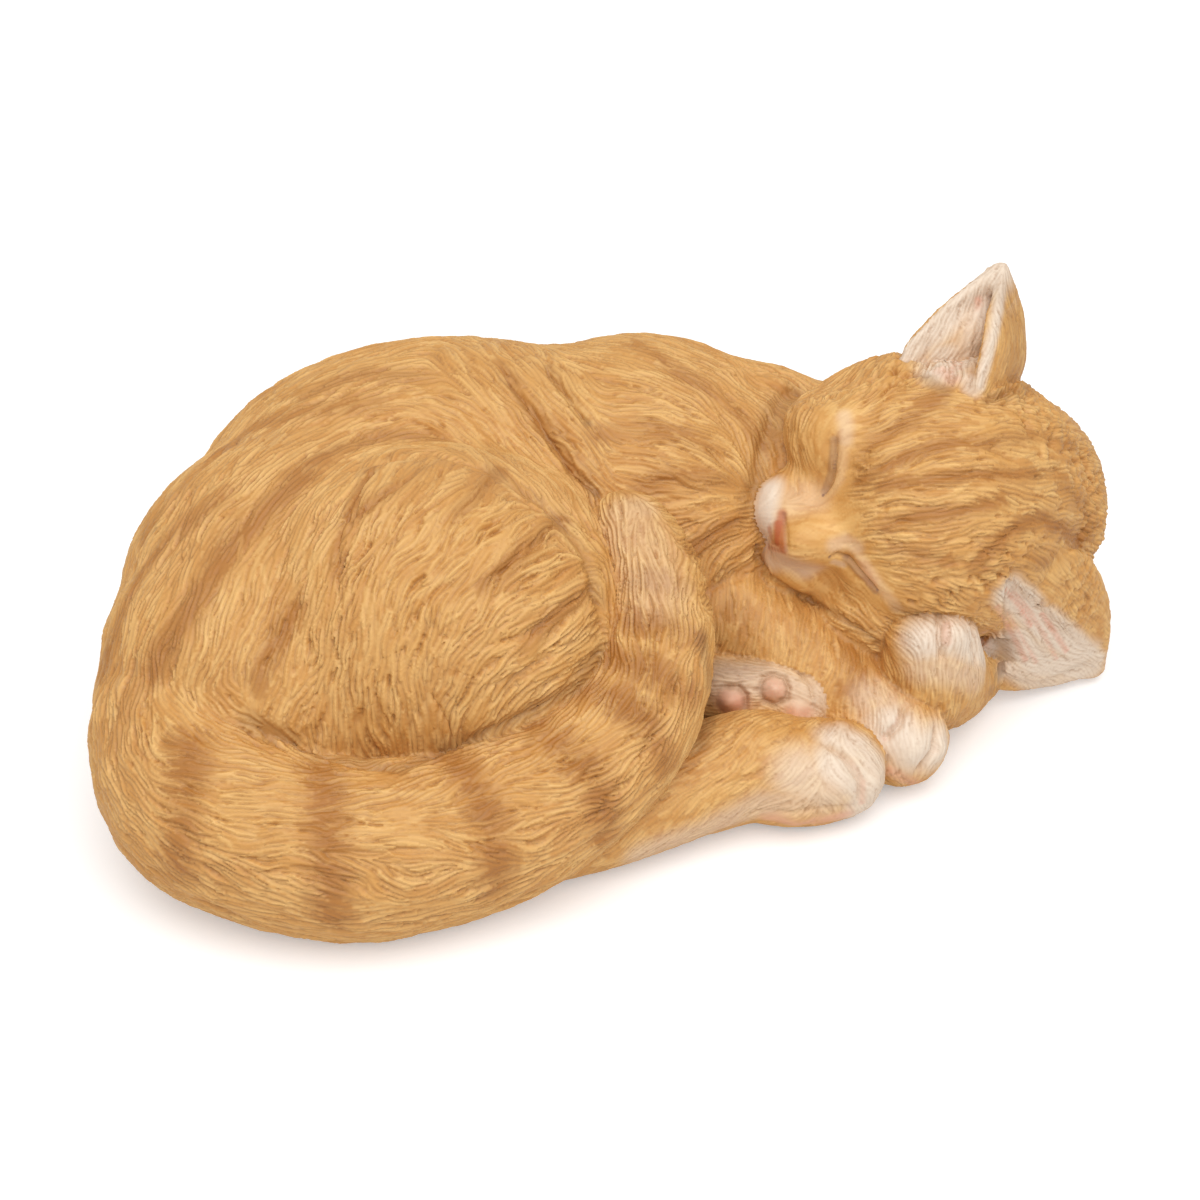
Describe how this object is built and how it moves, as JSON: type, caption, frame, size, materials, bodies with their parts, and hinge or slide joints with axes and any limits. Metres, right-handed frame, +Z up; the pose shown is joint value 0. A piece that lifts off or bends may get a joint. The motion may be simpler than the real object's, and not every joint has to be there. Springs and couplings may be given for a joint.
{
  "type": "sleeping cat figurine",
  "caption": "Hollow cast figurine of a curled sleeping tabby kitten, tail wrapped round the front, painted ginger, standing on felt pads as an ornament.",
  "frame": {"origin": "middle of the footprint's box, on the surface that the felt pads stand on", "axes": "+X from the rump to the head side (right in the picture), +Y away from the viewer towards the spine, +Z up"},
  "size_m": [0.294, 0.2008, 0.1266],
  "materials": {
    "painted_casting": "hand-painted resin with carved fur, satin matt",
    "bare_resin": "unpainted cast resin",
    "rubber": "matt black",
    "felt": "dark pressed felt",
    "steel": "plain drawn bar"
  },
  "bodies": {
    "root": {"hindquarters_shell": "painted_casting", "forequarters_shell": "painted_casting", "head_shell": "painted_casting", "tail": "painted_casting", "front_leg_stretched": "painted_casting", "front_leg_under_cheek": "painted_casting", "hind_foot_near": "painted_casting", "hind_foot_far": "painted_casting", "ear_upper": "painted_casting", "ear_lower": "painted_casting", "base_plate": "bare_resin", "vent_plug": "rubber", "felt_pad_tail": "felt", "felt_pad_foot": "felt", "felt_pad_croup": "felt", "felt_pad_ribs": "felt", "waist_dowel_top": "steel", "waist_dowel_back": "steel", "head_pin_near": "steel", "head_pin_far": "steel", "tail_root_pin": "steel", "tail_tip_pin": "steel", "stretched_leg_pin": "steel", "cheek_leg_pin": "steel", "near_foot_pin": "steel", "far_foot_pin": "steel"}
  },
  "joints": []
}
